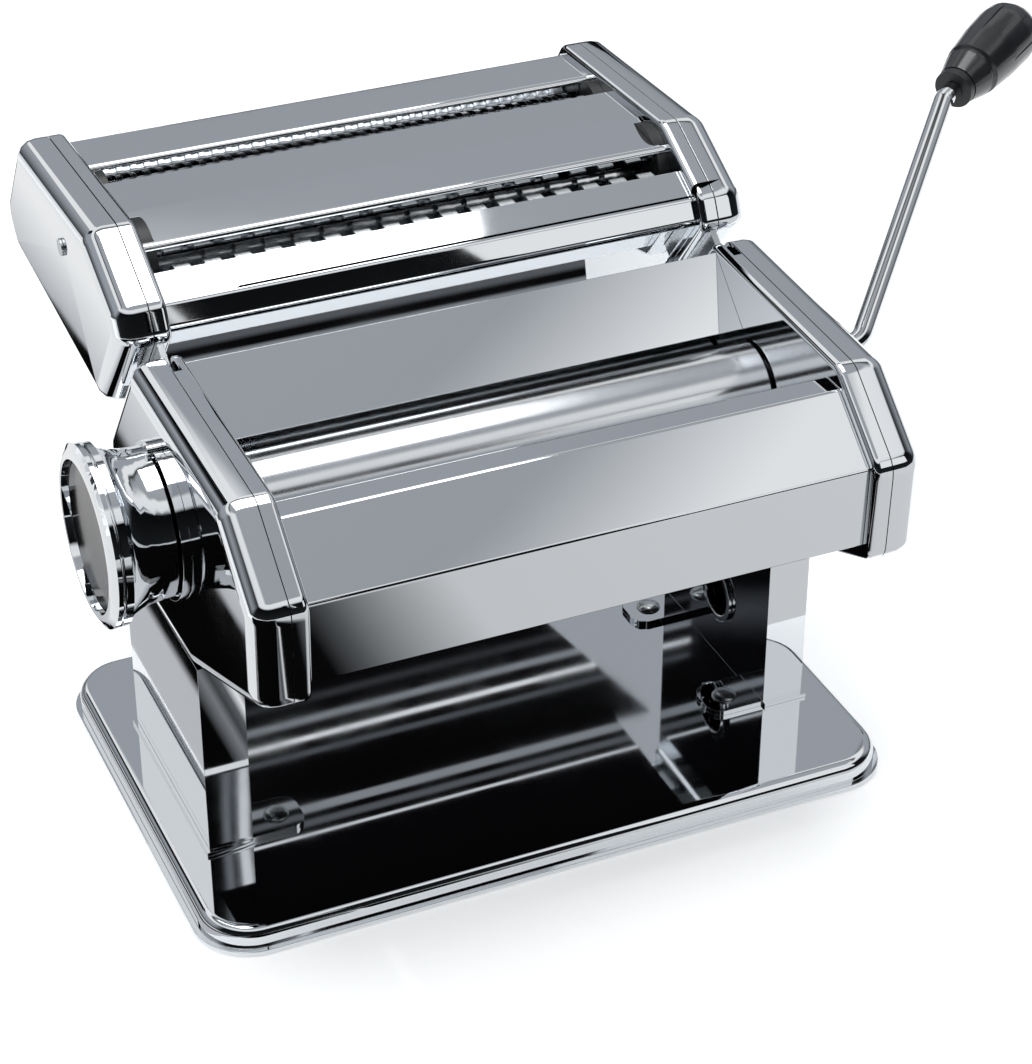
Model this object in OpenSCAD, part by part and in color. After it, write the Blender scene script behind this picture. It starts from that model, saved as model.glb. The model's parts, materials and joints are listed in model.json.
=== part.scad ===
// Hand-cranked pasta machine: a sheet roller head on two channel legs, a pressed base pan, and a noodle
// cutter unit that lifts off along slanted rails behind the head.
// X runs along the rollers with the crank on the +X side, Y runs from front to back, Z is up, and z = 0 is
// the table under the centre of the base pan. The head and the cutter unit are placed from the axis of the
// rear roller, so that a taller machine only has longer legs.

/* [Base] */
// Width of the base pan along the rollers
base_w = 203; // [190:1:230]
// Depth of the base pan from front to back
base_d = 136; // [120:1:160]
// Height of the pan's top above the table
base_h = 8; // [7:0.5:12]
// Radius of the pan's corners
base_r = 16; // [10:1:24]
// Rounding of the pan's top edge
base_edge_r = 3; // [1.5:0.5:4]
// Width of the outward lip around the pan
lip_w = 1.5; // [1:0.5:3]
// Diameter of the rubber feet
foot_d = 16; // [10:1:20]

/* [Legs] */
// Depth of a leg from front to back
leg_d = 63.4; // [60:0.2:68]
// Thickness of the legs' sheet
leg_t = 1.5; // [1.2:0.1:2]
// Reach of a leg's foot tabs along the pan
tab_l = 16; // [14:1:20]
// Diameter of the clamp hole in the right leg
clamp_hole_d = 13; // [10:0.5:16]
// Height of the clamp hole above the pan
clamp_hole_h = 21; // [18:1:26]

/* [Head] */
// Gap between the two side plates
body_w = 152; // [140:1:180]
// Height of the rear roller's axis above the table
axis_h = 96; // [90:1:110]
// Thickness of the side plates and covers
cover_t = 1.2; // [1:0.1:1.5]
// Thickness of the panels between the side plates
panel_t = 1; // [0.8:0.1:1.2]
// Width of the rims around the side plates
rim_w = 4.9; // [4.5:0.1:6]
// How far the rims stand proud of the panels
rim_stand = 3; // [2.5:0.1:3.5]
// Width of each end, from side plate to cover face
end_w = 14.7; // [14:0.1:17]
// Rounding of the covers' outer edges
cover_edge_r = 6; // [4:0.5:7]
// Rise of the head's rear top corner above the roller axis
head_rise = 41.5; // [40:0.5:46]
// Reach of the head's front face ahead of the roller axis
head_reach = 92.1; // [90:0.5:100]
// Depth of the front slope from front to back
slope_d = 22.5; // [20:0.5:25]
// Height of the front slope
slope_h = 18.4; // [16:0.2:20]
// Height of the vertical front face
face_h = 28; // [26:0.5:30]
// Slope of the joint between head and cutter unit
joint_slope = 52; // [50:0.5:54]

/* [Rollers] */
// Radius of the smooth rollers
roller_r = 13; // [12:0.5:13.5]
// Slope of the line through the two roller axes
line_tilt = 22; // [20:1:24]
// Gap between the rollers at the thickest setting
gap_open = 1.9; // [1.8:0.1:2.2]
// Travel of the front roller from the thickest to the thinnest setting
gap_travel = 1.6; // [1.2:0.1:1.6]
// Teeth on each roller gear
gear_teeth = 12; // [12:4:12]
// Width of the gears
gear_w = 4.5; // [3:0.5:5]

/* [Knob] */
// Number of thickness settings
settings = 9; // [7:1:9]
// Angle between two settings
setting_step = 20; // [18:1:20]
// Outer radius of the knob's flange
knob_r = 24; // [22:0.5:26]
// Radius of the knob's neck
neck_r = 20; // [19:0.2:21]
// Length of the knob
knob_l = 18.5; // [17:0.5:22]
// Pull that frees the knob from its pin
knob_pull = 5; // [4:0.5:6]
// Thickness of the index plate behind the knob
index_t = 2.5; // [2:0.5:4]

/* [Crank] */
// Radius of the crank rod
rod_r = 3.15; // [2.8:0.05:3.6]
// Reach of the crank's arm from the roller axis
arm_reach = 85.4; // [70:1:100]
// Run of the crank's shaft beyond the cover, up to the bend
shaft_run = 33.8; // [28:1:45]
// Run of the arm along the roller axis
arm_run = 73.1; // [60:1:85]
// Length of the grip
grip_l = 43; // [40:1:60]
// Largest radius of the grip
grip_r = 10.4; // [9:0.2:13]
// Slope of the grip away from the roller axis
grip_slope = 32.7; // [20:1:40]
// Tilt of the crank's rest pose above the horizontal
crank_tilt = 20; // [0:5:40]

/* [Cutter] */
// Gap between the head and the cutter unit
joint_gap = 5.2; // [4.8:0.1:5.6]
// Length of the cutter unit's flat top
cutter_top_l = 66.5; // [66:0.5:72]
// Height that the cutter lifts along its rails
cutter_lift = 45; // [30:1:60]
// Pitch of the wide cutter's rings
wide_pitch = 8.4; // [7:0.2:10]
// Pitch of the narrow cutter's rings
narrow_pitch = 4; // [3.6:0.1:5]
// Outer radius of the wide cutter's rings
wide_r = 9; // [8.6:0.1:9.2]
// Outer radius of the narrow cutter's rings
narrow_r = 8.5; // [8:0.1:8.6]
// Slope of the wide cutter pair
wide_tilt = 36; // [32:1:40]

/* [Hidden] */
$fn = 48;

// Clearances
slide_gap = 0.25;   // between flat faces that slide
turn_gap = 0.06;    // radial, around a turning shaft
air = 0.4;          // around parts that never touch
seam = 0.25;        // between a side plate's rim and its cover
eps = 1;            // overrun of a cut

// Planes along X
plate_x = body_w / 2;                  // inner face of a side plate
web_x = plate_x + cover_t;             // its outer face, which the leg bears on
seam_x = plate_x + rim_w;              // end of its rim
cover_x = plate_x + end_w;             // outer face of a cover
leg_x = cover_x - cover_t;             // outer face of a leg, against the cover
gear_x = web_x + 4.6;                  // inner face of the gears
yoke_x = gear_x + gear_w + 0.4;        // inner face of the carrier yokes
yoke_w = 2;
axis_y = 7.6;                          // rear roller axis behind the base's centre

// Head outline, in Y and Z from the rear roller's axis, counterclockwise from the rear top corner
head_fall = 2.5;
head_floor = 30;
joint_dir = [cos(joint_slope), -sin(joint_slope)];
joint_out = [sin(joint_slope), cos(joint_slope)];
head_corner = [0.9, head_rise];
joint_l = 41.4;
head_front_top = [slope_d - head_reach, head_rise - head_fall];
head_front_mid = [-head_reach, head_front_top[1] - slope_h];
head_front_low = [-head_reach + 1, head_front_mid[1] - face_h];
head_rear_low = head_corner + joint_l * joint_dir;
head_pts = [
    head_corner, head_front_top, head_front_mid, head_front_low,
    head_front_low + [17.5, -7.5], [-leg_d / 2 - axis_y, 1.4 - head_floor],
    [head_rear_low[0], -head_floor], head_rear_low
];
head_radii = [4, 7, 7, 5, 12, 6, 5, 8];

// Cutter outline, in Y and Z from the rear roller's axis, counterclockwise from the rear top corner
cutter_foot = head_corner + joint_gap * joint_out + 2.2 * joint_dir;
cutter_nose = cutter_foot + [4.2, 8.3];
cutter_knee = cutter_nose + [23.8, 12.1];
cutter_back = cutter_knee + [cutter_top_l, -2.4];
cutter_pts = [
    cutter_back, cutter_knee, cutter_nose, cutter_foot, cutter_foot + 38 * joint_dir,
    cutter_back + [9.5, -39.5], cutter_back + [19.5, -27]
];
cutter_radii = [6, 9, 6, 4, 7, 9, 10];

// Roller axes, from the rear roller's axis
line_dir = [cos(line_tilt), -sin(line_tilt)];
roller_dist = 2 * roller_r + gap_open;
front_axis = -roller_dist * line_dir;
journal_r = 5;
sleeve_r = 7;
shaft_r = 4;
roller_bore_r = shaft_r + gap_travel + 0.6;
hollow_journal_r = roller_bore_r + 2.3;
socket_r = rod_r + 0.05;
socket_flat = 0.7 * rod_r;
gear_tip_r = roller_r + gap_open / 2 + 1.45;
gear_root_r = 2 * roller_r + gap_open - gap_travel - gear_tip_r - 0.3;

// Selector: the cams swing the carriers through their travel while the knob turns over its settings
knob_range = (settings - 1) * setting_step;
cam_start = 180 + (180 - knob_range) / 2;
cam_throw = gap_travel / 2 / cos((180 - knob_range) / 2);
cam_r = shaft_r + cam_throw + 0.5;
carrier_half = [hollow_journal_r + 4.3, hollow_journal_r + 2.3];
bridge_u = gear_tip_r + 0.8;
channel_top = axis_h - head_floor + 2;

// Knob, measured outward from the left cover's face
knob_0 = index_t + 0.5;
pin_circle = neck_r - 3;
pin_r = 1.1;

// Crank, in its own plane: X along the roller axis and the reach away from it
bend_r = 9;
crank_bend = [cover_x + shaft_run, 0];
crank_top = crank_bend + [arm_run, arm_reach];
grip_dir = [cos(grip_slope), sin(grip_slope)];
grip_start = 6;
grip_pin_r = 2.5;

// Cutter rollers, from the rear roller's axis
wide_mid = cutter_foot + [33, -4.5];
narrow_mid = cutter_foot + [68.5, 1];
ring_bite = 0.6;
wide_half = (wide_r - ring_bite / 2) * [cos(wide_tilt), sin(wide_tilt)];
narrow_half = (narrow_r - ring_bite / 2) * [1, 0];
wide_a = wide_mid - wide_half;
wide_b = wide_mid + wide_half;
narrow_a = narrow_mid - narrow_half;
narrow_b = narrow_mid + narrow_half;
cheek_t = 3.5;
cutter_l = body_w - 2 * cheek_t - 1;
cutter_journal_r = 4;
cutter_sleeve_r = 5.5;
cutter_gear_x = web_x + 5;
dome_r = 11.5;

// Rails
tongue_x = web_x + 1.5;
tongue_w = 1.8;
tongue_in = 6.5;
rail_end = 34;

// ---- Outlines ----

function unit(v) = v / norm(v);
function left_of(v) = [-v[1], v[0]];

// The corner at b, between a and c, as an arc of radius r in n steps
function corner(a, b, c, r, n) =
    let (u = unit(a - b), v = unit(c - b), half = acos(u * v) / 2)
    let (centre = b + unit(u + v) * r / sin(half), reach = r / tan(half))
    let (first = b + u * reach - centre, last = b + v * reach - centre)
    let (start = atan2(first[1], first[0]), sweep = atan2(last[1], last[0]) - start)
    let (turn = sweep > 180 ? sweep - 360 : sweep < -180 ? sweep + 360 : sweep)
    [for (i = [0 : n]) centre + r * [cos(start + turn * i / n), sin(start + turn * i / n)]];

// A closed outline with rounded corners
function rounded(pts, radii, n = 4) =
    let (last = len(pts) - 1)
    [for (i = [0 : last]) each corner(pts[i == 0 ? last : i - 1], pts[i], pts[i == last ? 0 : i + 1], radii[i], n)];

// An open path with rounded bends
function bent(pts, r, n = 4) =
    let (last = len(pts) - 1)
    [pts[0], for (i = [1 : last - 1]) each corner(pts[i - 1], pts[i], pts[i + 1], r, n), pts[last]];

// The path moved to its left by d, with mitred corners
function shifted(pts, d, closed) =
    let (n = len(pts))
    [for (i = [0 : n - 1])
        let (before = closed ? pts[(i + n - 1) % n] : pts[max(i - 1, 0)])
        let (after = closed ? pts[(i + 1) % n] : pts[min(i + 1, n - 1)])
        let (out = !closed && i == n - 1 ? unit(pts[i] - before) : unit(after - pts[i]))
        let (in = !closed && i == 0 ? out : unit(pts[i] - before))
        let (m = left_of(in), k = left_of(out))
        pts[i] + d * (m + k) / (1 + m * k)];

// A strip of sheet, t thick, on the left of an open path
function strip(pts, t) =
    let (inner = shifted(pts, t, false), n = len(pts))
    concat(pts, [for (i = [n - 1 : -1 : 0]) inner[i]]);

// A rounded outline, moved inward by d
function inset(pts, radii, d) = rounded(shifted(pts, d, true), [for (r = radii) max(r - d, 0.8)]);

// Height at y on the line through a and b
function height_at(a, b, y) = a[1] + (b[1] - a[1]) * (y - a[0]) / (b[0] - a[0]);

head_in = shifted(head_pts, rim_stand, true);
cutter_in = shifted(cutter_pts, rim_stand, true);

// ---- Placing ----

module at_axis() { translate([0, axis_y, axis_h]) children(); }

module along_x(x, w) { translate([x, 0, 0]) rotate([90, 0, 90]) linear_extrude(w) children(); }

module rod_x(x, w, r, at = [0, 0]) { translate([x, at[0], at[1]]) rotate([0, 90, 0]) cylinder(h = w, r = r); }

module both_ends() {
    children();
    mirror([1, 0, 0]) children();
}

// A frame with Y down the joint face and Z out of it
module at_joint() { translate([0, head_corner[0], head_corner[1]]) rotate([-joint_slope, 0, 0]) children(); }

// A frame on the front roller's axis, with Y towards the rear roller
module at_front() { translate([0, front_axis[0], front_axis[1]]) rotate([-line_tilt, 0, 0]) children(); }

// A sheet panel between the side plates
module panel(path, t = panel_t, bend = 1.5) { along_x(-plate_x, body_w) polygon(strip(bent(path, bend), t)); }

// ---- Shared shapes ----

// A solid end shell from x0 to x1 whose outer edge is rounded by r
module end_solid(pts, radii, x0, x1, r, d = 0) {
    levels = concat([[x0, d]], [for (a = [0 : 22.5 : 90]) [x1 - r + r * sin(a), d + r * (1 - cos(a))]]);
    rings = [for (level = levels) inset(pts, radii, level[1])];
    n = len(rings[0]);
    last = len(levels) - 1;
    walls = [
        for (j = [0 : last - 1], k = [0 : n - 1])
            let (next = (k + 1) % n)
            [j * n + k, (j + 1) * n + k, (j + 1) * n + next, j * n + next]
    ];
    polyhedron(
        points = [for (j = [0 : last], p = rings[j]) [levels[j][0], p[0], p[1]]],
        faces = concat([[for (k = [0 : n - 1]) k]], [[for (k = [n - 1 : -1 : 0]) last * n + k]], walls)
    );
}

// A side plate: a web with an outward rim, drawn for the right end
module side_plate(pts, radii) {
    difference() {
        mirror([1, 0, 0]) end_solid(pts, radii, -seam_x, -plate_x, 1.8);
        along_x(web_x, rim_w) polygon(inset(pts, radii, cover_t));
    }
}

// An end cover: a tray with a rounded outer edge, drawn for the right end
module end_cover(pts, radii) {
    difference() {
        end_solid(pts, radii, seam_x + seam, cover_x, cover_edge_r);
        end_solid(pts, radii, plate_x, cover_x - cover_t, cover_edge_r - cover_t, cover_t);
    }
}

// A straight-flanked spur gear along X
module gear(x, w, root_r, tip_r, bore_r, teeth, phase, at) {
    pitch = 360 / teeth;
    root_half = root_r * sin(pitch * 0.27);
    tip_half = tip_r * sin(pitch * 0.09);
    translate([0, at[0], at[1]])
        along_x(x, w)
            difference() {
                union() {
                    circle(r = root_r);
                    for (i = [0 : teeth - 1])
                        rotate(phase + i * pitch)
                            polygon([
                                [root_r - 1, -root_half], [tip_r, -tip_half],
                                [tip_r, tip_half], [root_r - 1, root_half]
                            ]);
                }
                circle(r = bore_r);
            }
}

// The D-shaped end of the crank, or its socket with a gap all round
module d_shaft(x, w, r, flat) {
    intersection() {
        rod_x(x, w, r);
        translate([x - eps, -r - eps, -r - eps]) cube([w + 2 * eps, 2 * (r + eps), r + flat + eps]);
    }
}

// A roller with a crank socket in its right end
module crank_socket(at) {
    translate([0, at[0], at[1]]) d_shaft(cover_x - 14, 14 + 2 * eps + 2, socket_r, socket_flat + 0.05);
}

// ---- Base and legs ----

// Section of the pan's edge, measured outward from the centre of a corner
pan_floor = 0.6;
pan_wall = base_r - lip_w;
pan_section = strip(
    concat(
        [[base_r, pan_floor + cover_t], [pan_wall, pan_floor + cover_t]],
        corner([pan_wall, 0], [pan_wall, base_h], [0, base_h], base_edge_r, 4),
        [[0, base_h]]
    ), cover_t);

// One side of the pan, from corner to corner, with the corner at its end
module pan_side(run, half) {
    translate([run / 2 - base_r, half - base_r, 0]) {
        rotate_extrude(angle = 90) polygon(pan_section);
        translate([2 * base_r - run, 0, 0]) rotate([90, 0, 90]) linear_extrude(run - 2 * base_r) polygon(pan_section);
    }
}

tab_w = 14;
tab_y = leg_d / 2 - tab_w / 2;
screw_r = 2;
// A foot tab seen from above, with its free corners cut round
tab_outline = [
    [0, 4], [1.2, 1.2], [4, 0], [tab_l + eps, 0], [tab_l + eps, tab_w], [4, tab_w], [1.2, tab_w - 1.2],
    [0, tab_w - 4]
];

module at_foot_screws() {
    for (sx = [-1, 1], sy = [-1, 1])
        translate([sx * (web_x - tab_l / 2 - 1), sy * tab_y, 0]) children();
}

module base_plate() color("silver")
    difference() {
        union() {
            for (turn = [0, 180]) {
                rotate(turn) pan_side(base_w, base_d / 2);
                rotate(turn + 90) pan_side(base_d, base_w / 2);
            }
            translate([-base_w / 2 + base_r, -base_d / 2 + base_r, base_h - cover_t])
                cube([base_w - 2 * base_r, base_d - 2 * base_r, cover_t]);
        }
        at_foot_screws() cylinder(h = base_h + eps, r = screw_r);
    }

module base_feet() color("dimgray")
    for (sx = [-1, 1], sy = [-1, 1])
        translate([sx * (base_w / 2 - base_r), sy * (base_d / 2 - base_r), 0])
            cylinder(h = base_h - cover_t, d = foot_d);

// A leg: a channel on the pan whose inner web runs up behind the side plate, drawn for the right end
module leg() {
    w = leg_x - web_x;
    web = [
        [-leg_d / 2 - axis_y, base_h - axis_h], [leg_d / 2 - axis_y, base_h - axis_h],
        [leg_d / 2 - axis_y - 0.2, -11], [3.5, head_rise - 19.5], [-36, 31], [-48.5, -4],
        [-leg_d / 2 - axis_y, -16]
    ];
    difference() {
        union() {
            translate([web_x, -leg_d / 2, base_h]) difference() {
                cube([w, leg_d, channel_top - base_h]);
                translate([leg_t, leg_t, leg_t]) cube([w - 2 * leg_t, leg_d - 2 * leg_t, channel_top]);
            }
            translate([web_x, -leg_d / 2 - 1.2, base_h]) cube([w + 1, leg_d + 2.4, 1.2]);
            translate([leg_x - leg_t, cover_screw[0] - 6, channel_top - eps])
                cube([leg_t, 12, cover_screw[1] + 4 - channel_top + eps]);
            for (s = [-1, 1])
                translate([web_x - tab_l, s * tab_y - tab_w / 2, base_h]) linear_extrude(leg_t) polygon(tab_outline);
            at_axis() along_x(web_x, leg_t) polygon(web);
        }
        at_foot_screws() translate([0, 0, base_h - eps]) cylinder(h = leg_t + 2 * eps, r = screw_r);
        at_axis() {
            rod_x(web_x - eps, leg_t + 2 * eps, bush_r(sleeve_r));
            at_front() carrier_block(web_x - eps, leg_t + 2 * eps, slide_gap, gap_travel + slide_gap);
        }
        translate([0, cover_screw[0], cover_screw[1]]) rod_x(leg_x - leg_t - eps, leg_t + 2 * eps, screw_r);
        for (p = leg_rods) rod_x(web_x - eps, leg_t + 2 * eps, screw_r, p);
    }
}

cover_screw = [20, axis_h - head_floor + 6];
clamp_hole_y = -2.7;

module clamp_hole_at(x, w, r) { rod_x(x, w, r, [clamp_hole_y, base_h + clamp_hole_h]); }

module left_leg() color("silver") mirror([1, 0, 0]) leg();

module right_leg() color("silver")
    difference() {
        leg();
        clamp_hole_at(web_x - eps, leg_t + 2 * eps, clamp_hole_d / 2 + ring_t);
    }

ring_t = 0.8;
ring_lip = 1.2;

// The eyelet pressed into the right leg's web, which lines the clamp hole
module clamp_ring() color("gainsboro")
    difference() {
        union() {
            clamp_hole_at(web_x - ring_lip, ring_lip, clamp_hole_d / 2 + ring_t + ring_lip);
            clamp_hole_at(web_x - ring_lip, ring_lip + leg_t, clamp_hole_d / 2 + ring_t);
        }
        clamp_hole_at(web_x - ring_lip - eps, ring_lip + leg_t + 2 * eps, clamp_hole_d / 2);
    }

// Screws through the foot tabs, with nuts under the pan
module foot_screws() color("gainsboro")
    at_foot_screws() {
        translate([0, 0, base_h - cover_t - 2.4]) cylinder(h = cover_t + 2.4 + leg_t, r = screw_r);
        translate([0, 0, base_h + leg_t]) rotate_extrude() polygon([[0, 0], [3.6, 0], [3.3, 0.6], [2.3, 1.1], [0, 1.4]]);
        translate([0, 0, base_h - cover_t - 2.2]) cylinder(h = 2.2, r = 3.6, $fn = 6);
    }

// ---- Head: plates, covers and panels ----

function bush_r(r) = r + 2.5;

// Tie rods between the side plates: two in the front of the head, one under the rear panel
front_rods = [[-head_reach + 13, -5.5], [-head_reach + 14, 22]];
rear_rod = [head_rear_low[0] - 11, 12 - head_floor];
leg_rods = [rear_rod + [axis_y, axis_h]];
rod_rod_r = 3;

module head_plate() {
    difference() {
        side_plate(head_pts, head_radii);
        rod_x(plate_x - eps, cover_t + 2 * eps, bush_r(sleeve_r));
        at_front() translate([0, gap_travel / 2, 0]) rod_x(plate_x - eps, cover_t + 2 * eps, hollow_journal_r + gap_travel / 2 + air);
        for (p = concat(front_rods, [rear_rod])) rod_x(plate_x - eps, cover_t + 2 * eps, screw_r, p);
        rail_slot();
        leg_notch(plate_x + cover_t);
    }
}

// The slot that a tongue slides along, through the rim and out of the top corner
module rail_slot() {
    at_joint()
        translate([tongue_x - slide_gap, -20, -tongue_in - slide_gap])
            cube([tongue_w + 2 * slide_gap, rail_end + slide_gap + 20, tongue_in + slide_gap + 4 * eps]);
}

// The notch in the underside that a leg passes through
module leg_notch(x) {
    translate([x, -leg_d / 2 - axis_y, -head_floor - 4])
        cube([leg_x - x, leg_d, 12]);
}

module left_side_plate() color("silver") at_axis() mirror([1, 0, 0]) head_plate();
module right_side_plate() color("silver") at_axis() head_plate();

module head_cover(hole_r, hole_at) {
    difference() {
        end_cover(head_pts, head_radii);
        rod_x(leg_x - eps, cover_t + 2 * eps, hole_r, hole_at);
        rod_x(leg_x - eps, cover_t + 2 * eps, screw_r, cover_screw - [axis_y, axis_h]);
        leg_notch(seam_x);
        children();
    }
}

module left_end_cover() color("silver")
    at_axis() mirror([1, 0, 0]) head_cover(bush_r(shaft_r), front_axis);

module right_end_cover() color("silver")
    at_axis() head_cover(bush_r(sleeve_r), [0, 0])
        rod_x(leg_x - eps, cover_t + 2 * eps, bush_r(shaft_r), front_axis);

module cover_screws() color("gainsboro")
    both_ends() translate([0, cover_screw[0], cover_screw[1]]) {
        rod_x(leg_x - leg_t, leg_t + cover_t, screw_r);
        rod_x(cover_x, 1.4, 3.6);
    }

hopper_back = -64.2;
hopper_front = hopper_back - 7.3;
hopper_top = height_at(head_in[1], head_in[2], hopper_front);

module front_panel() color("silver")
    at_axis() panel([
        [front_axis[0] - roller_r - 4, front_axis[1] + 3], [hopper_back, hopper_top], [hopper_front, hopper_top],
        head_in[2], head_in[3] + [0, 1.5]
    ]);

guide_top = [-1.6, head_rise - 1.7];
guide_end = guide_top + [-17.1, -15.1];

// The guide plate rests on the rear panel's top edge and leads the dough into the rollers
module guide_plate() color("silver")
    at_axis() {
        panel([guide_top, guide_end], panel_t, 0);
        both_ends() along_x(plate_x - panel_t, panel_t)
            polygon([guide_top, guide_end, guide_end + [5, -3.5], guide_top + [1, -4.5]]);
    }

module rear_panel() color("silver")
    at_axis() panel([[head_in[7][0], 6 - head_floor], head_in[7], head_in[0] + 1.2 * joint_dir]);

front_tip = front_axis + (roller_r + 0.3) * [cos(-120), sin(-120)];
rear_tip = (roller_r + 0.3) * [cos(-60), sin(-60)];

module front_scraper() color("gainsboro")
    at_axis() panel([front_tip, front_tip + [-5.5, -10], front_tip + [-21, -10]], 0.8);

module rear_scraper() color("gainsboro")
    at_axis() panel([[head_in[7][0] - panel_t, rear_tip[1] - 10], rear_tip + [4, -10], rear_tip], 0.8);

module tie_rods() color("gainsboro")
    at_axis()
        for (p = concat(front_rods, [rear_rod]))
            difference() {
                rod_x(-plate_x, body_w, rod_rod_r, p);
                both_ends() rod_x(plate_x - 6, 6 + eps, screw_r, p);
            }

module tie_screw(x) {
    rod_x(plate_x - 6, x - plate_x + 6, screw_r);
    rod_x(x, 2, 3.6);
}

module tie_screws() color("gainsboro")
    at_axis() both_ends() {
        for (p = front_rods) translate([0, p[0], p[1]]) tie_screw(web_x);
        translate([0, rear_rod[0], rear_rod[1]]) tie_screw(web_x + leg_t);
    }

// A plain bush from x0 to x1 with a flange on its outer end
module bush(x0, x1, bore, flange_w) {
    difference() {
        union() {
            rod_x(x0, x1 - x0, bush_r(bore));
            rod_x(x1, flange_w, bush_r(bore) + 1.5);
        }
        rod_x(x0 - eps, x1 - x0 + flange_w + 2 * eps, bore + turn_gap);
    }
}

module roller_bushes() color("tan")
    at_axis() {
        bush(plate_x, web_x + leg_t, sleeve_r, 1);
        mirror([1, 0, 0]) bush(plate_x, web_x + leg_t, sleeve_r, 1);
    }

module drive_bush() color("dimgray") at_axis() bush(leg_x, cover_x, sleeve_r, 1.2);

module selector_bush() color("dimgray")
    at_axis() translate([0, front_axis[0], front_axis[1]]) bush(leg_x - 0.6, cover_x, shaft_r, 1);

// The boss behind the knob, with the pin that holds the knob at its setting and the pointer above it
module index_plate() color("silver")
    at_axis() translate([0, front_axis[0], front_axis[1]]) mirror([1, 0, 0])
        difference() {
            union() {
                rod_x(leg_x - 0.6, cover_x - leg_x + 0.6 + eps, bush_r(shaft_r));
                rod_x(cover_x, index_t, neck_r + 0.8);
                rod_x(cover_x, knob_0 + 2.5, pin_r, [0, pin_circle]);
                rod_x(cover_x, knob_0 + 1, 1.3, [0, neck_r + 1.1]);
            }
            rod_x(leg_x - eps - 0.6, cover_x - leg_x + index_t + 2 * eps + 0.6, shaft_r + turn_gap);
        }

// Guide channels for the cutter's tongues, behind the slots in the rims
module attachment_rails() color("gainsboro")
    at_axis() both_ends() at_joint()
        difference() {
            translate([web_x, 9, -cover_t - 8]) cube([4, rail_end - 6, 7.9]);
            translate([tongue_x - slide_gap, 0, -tongue_in - slide_gap])
                cube([tongue_w + 2 * slide_gap, rail_end + slide_gap, tongue_in + 1]);
        }

// ---- Rolling gear ----

roller_half = plate_x - 0.8;

module rear_roller() color("gainsboro")
    at_axis() difference() {
        union() {
            rod_x(-roller_half, 2 * roller_half, roller_r);
            rod_x(-web_x - leg_t - 2, 10, sleeve_r);
            rod_x(roller_half - eps, cover_x + 1.5 - roller_half + eps, sleeve_r);
        }
        crank_socket([0, 0]);
    }

module rear_gear() color("lightsteelblue")
    at_axis() gear(gear_x, gear_w, gear_root_r, gear_tip_r, sleeve_r, gear_teeth, 180 - line_tilt, [0, 0]);

module front_roller() color("gainsboro")
    at_axis() at_front() difference() {
        union() {
            rod_x(-roller_half, 2 * roller_half, roller_r);
            rod_x(-gear_x, gear_x, hollow_journal_r);
            rod_x(0, gear_x + gear_w, hollow_journal_r);
        }
        rod_x(-cover_x, 2 * cover_x, roller_bore_r);
    }

module front_gear() color("lightsteelblue")
    at_axis() gear(gear_x, gear_w, gear_root_r, gear_tip_r, hollow_journal_r, gear_teeth,
        180 / gear_teeth - line_tilt, front_axis);

// The block of a carrier, or with a gap and travel the window that it slides in
module carrier_block(x, w, gap = 0, travel = 0) {
    translate([x, -carrier_half[0] - gap, -carrier_half[1] - gap])
        cube([w, 2 * carrier_half[0] + gap + (travel > 0 ? travel : gap), 2 * (carrier_half[1] + gap)]);
}

// A carrier holds one end of the front roller; its yoke reaches past the gear to the cam
module carrier() {
    back_x = web_x + leg_t + slide_gap;
    at_front() difference() {
        union() {
            carrier_block(web_x + slide_gap, gear_x - 0.5 - web_x - slide_gap);
            translate([back_x, -bridge_u - 2, -8]) cube([yoke_x + yoke_w - back_x, 2, 16]);
            translate([back_x, -bridge_u - 1, -8]) cube([gear_x - 0.5 - back_x, bridge_u, 16]);
            translate([yoke_x, -bridge_u - 1, -8]) cube([yoke_w, bridge_u + 1 + cam_r + 2.5, 16]);
        }
        rod_x(web_x - eps, gear_x - web_x + eps, hollow_journal_r + turn_gap);
        translate([yoke_x - 0.2, -cam_throw - cam_r - 0.3, -cam_r - cam_throw - 0.3])
            cube([yoke_w + eps, 2 * (cam_r + 0.3), 2 * (cam_r + cam_throw + 0.3)]);
    }
}

module left_carrier() color("dimgray") at_axis() mirror([1, 0, 0]) carrier();
module right_carrier() color("dimgray") at_axis() carrier();

hex_from = cover_x + knob_0 - 0.3;
hex_to = cover_x + knob_0 + knob_l - 5.5;

module selector_shaft() color("gainsboro")
    at_axis() at_front() {
        translate([-hex_from, 0, 0]) rod_x(0, hex_from + cover_x, shaft_r);
        translate([-hex_to, 0, 0]) rotate([0, 90, 0]) cylinder(h = hex_to - hex_from, r = shaft_r, $fn = 6);
        both_ends() rod_x(yoke_x, yoke_w, cam_r, cam_throw * [cos(cam_start), sin(cam_start)]);
    }

module selector_nut() color("gainsboro")
    at_axis() at_front() translate([-hex_to - 1.8, 0, 0]) rotate([0, 90, 0]) cylinder(h = 1.8, r = 6.4);

knob_web = 3.2;

// The slot in the knob's back that the index pin runs in, from one end of the turn to the other,
// with a scallop at each setting
module index_slot() {
    half_w = pin_r + 0.2;
    depth = knob_web - 0.4 + eps;
    rotate([0, 90, 0]) rotate(180 + line_tilt - knob_range) rotate_extrude(angle = knob_range)
        translate([pin_circle - half_w, -eps]) square([2 * half_w, depth]);
    for (i = [0 : settings - 1])
        rotate([line_tilt - i * setting_step, 0, 0]) rod_x(-eps, depth, half_w + 0.5, [0, pin_circle]);
}

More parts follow.
